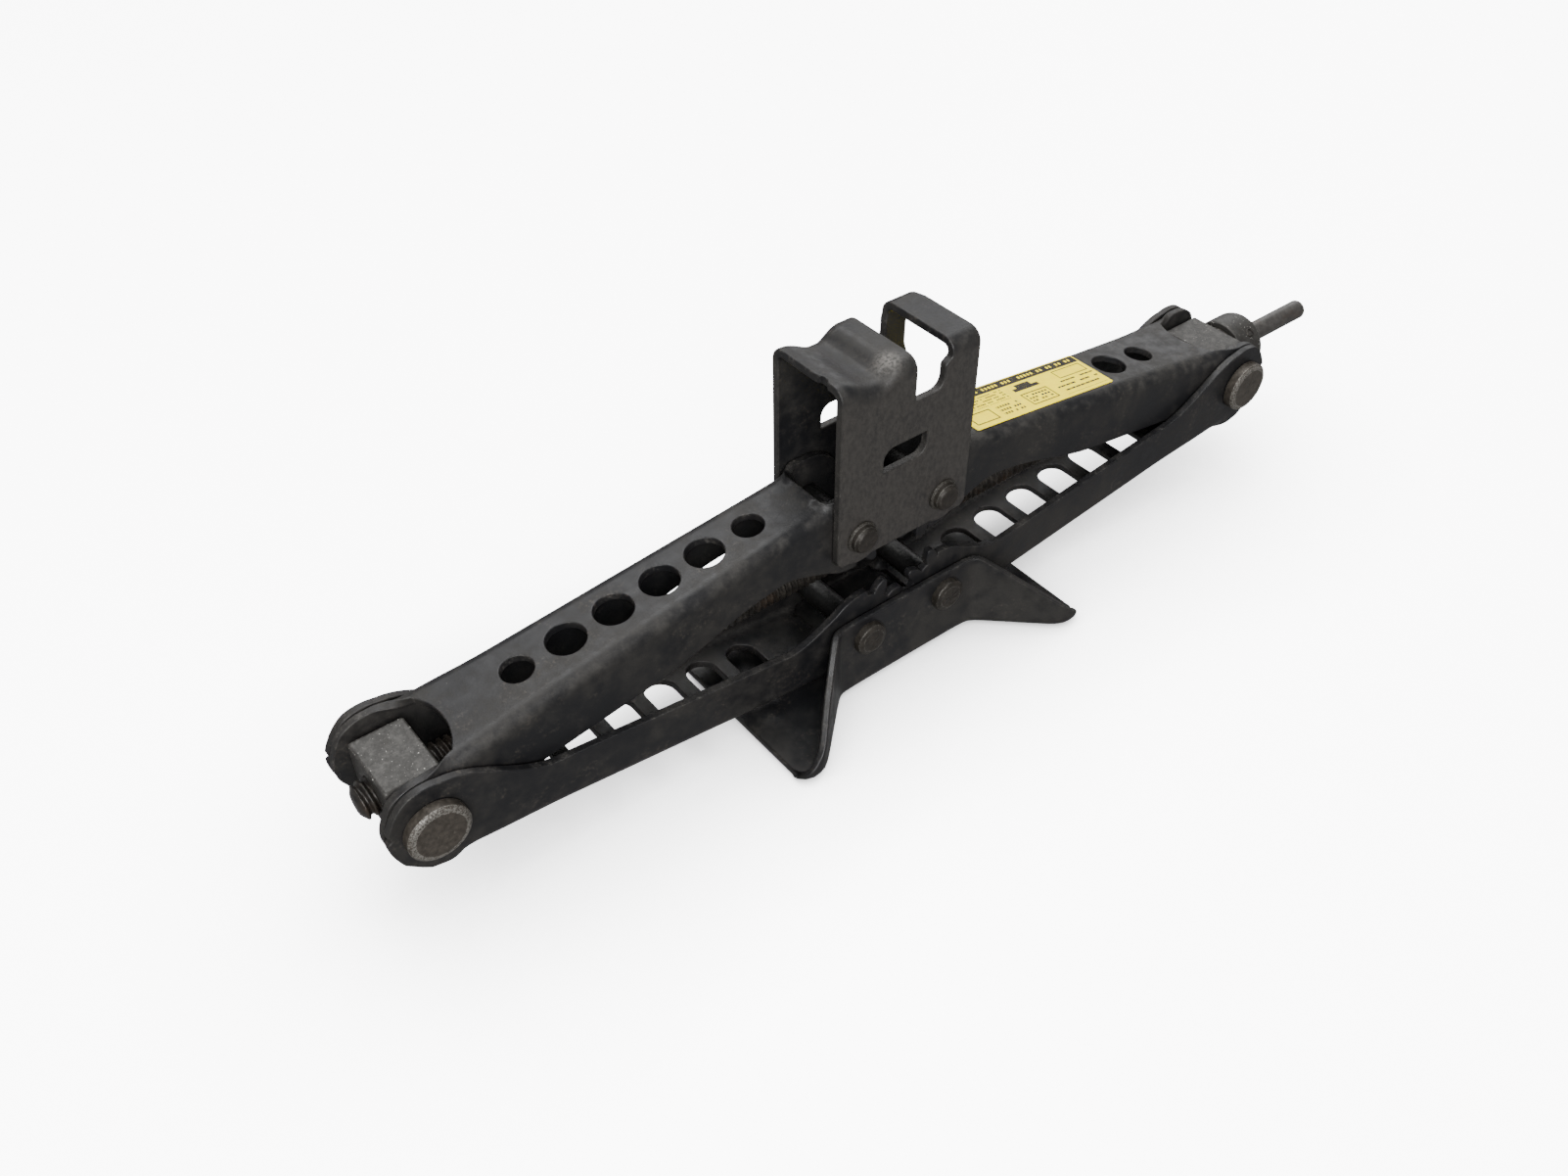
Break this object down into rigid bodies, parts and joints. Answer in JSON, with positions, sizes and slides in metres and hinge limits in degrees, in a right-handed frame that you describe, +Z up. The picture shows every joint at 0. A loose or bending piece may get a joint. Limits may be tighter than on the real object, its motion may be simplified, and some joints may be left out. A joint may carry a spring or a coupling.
{
  "type": "scissor jack",
  "caption": "Lowered car scissor jack: pressed channel arms with gear sectors, screw and trunnion nut, bow-tie base and slotted sill saddle.",
  "frame": {"origin": "centre of the base's underside, on the ground, midway between the two base pivots", "axes": "+X along the jack towards the drive rod, +Y across it, +Z up towards the saddle"},
  "size_m": [0.4381, 0.097, 0.123],
  "materials": {
    "black_paint": "satin black e-coat, scuffed, brighter at the sheared edges",
    "pin_steel": "brown-grey bare steel with light tarnish",
    "bare_steel": "grey machined steel with specks of grease",
    "dark_steel": "dark oily steel",
    "label_film": "yellow printed film with a dark header band, no wording"
  },
  "bodies": {
    "base": {"base_plate": "black_paint", "base_pin_left": "pin_steel", "base_pin_right": "pin_steel"},
    "lower_left": {"lower_arm_left": "black_paint"},
    "lower_right": {"lower_arm_right": "black_paint"},
    "upper_left": {"upper_arm_left": "black_paint"},
    "upper_right": {"upper_arm_right": "black_paint", "rating_label": "label_film"},
    "saddle": {"saddle": "black_paint", "saddle_pin_left": "pin_steel", "saddle_pin_right": "pin_steel"},
    "nut": {"nut_block": "bare_steel", "end_pin_left_near": "pin_steel", "end_pin_left_far": "pin_steel"},
    "bearing": {"bearing_block": "bare_steel", "end_pin_right_near": "pin_steel", "end_pin_right_far": "pin_steel", "thrust_washer": "dark_steel"},
    "screw": {"screw": "dark_steel", "thrust_collar": "bare_steel", "collar_pin": "dark_steel"}
  },
  "joints": [
    {"name": "lift", "type": "hinge", "parent": "base", "child": "lower_left", "pos_m": [-0.018, 0, 0.022], "axis": [0, 1, 0], "range_deg": [0, 50]},
    {"name": "lower_right_swing", "type": "hinge", "parent": "base", "child": "lower_right", "pos_m": [0.018, 0, 0.022], "axis": [0, 1, 0], "range_deg": [-50, 0]},
    {"name": "upper_left_fold", "type": "hinge", "parent": "lower_left", "child": "upper_left", "pos_m": [-0.1785, 0, 0.0425], "axis": [0, 1, 0], "range_deg": [-100, 0]},
    {"name": "upper_right_fold", "type": "hinge", "parent": "lower_right", "child": "upper_right", "pos_m": [0.1785, 0, 0.0425], "axis": [0, 1, 0], "range_deg": [0, 100]},
    {"name": "saddle_level", "type": "hinge", "parent": "upper_left", "child": "saddle", "pos_m": [-0.018, 0, 0.06301], "axis": [0, 1, 0], "range_deg": [0, 50]},
    {"name": "nut_level", "type": "hinge", "parent": "lower_left", "child": "nut", "pos_m": [-0.1785, 0, 0.0425], "axis": [0, 1, 0], "range_deg": [-50, 0]},
    {"name": "bearing_level", "type": "hinge", "parent": "lower_right", "child": "bearing", "pos_m": [0.1785, 0, 0.0425], "axis": [0, 1, 0], "range_deg": [0, 50]},
    {"name": "screw_spin", "type": "hinge", "parent": "bearing", "child": "screw", "pos_m": [0.1785, 0, 0.0425], "axis": [1, 0, 0], "continuous": true}
  ],
  "couplings": [
    {"joint": "lower_right_swing", "follows": "lift", "ratio": -1},
    {"joint": "upper_left_fold", "follows": "lift", "ratio": -2},
    {"joint": "upper_right_fold", "follows": "lift", "ratio": 2},
    {"joint": "saddle_level", "follows": "lift", "ratio": 1},
    {"joint": "nut_level", "follows": "lift", "ratio": -1},
    {"joint": "bearing_level", "follows": "lift", "ratio": 1}
  ]
}
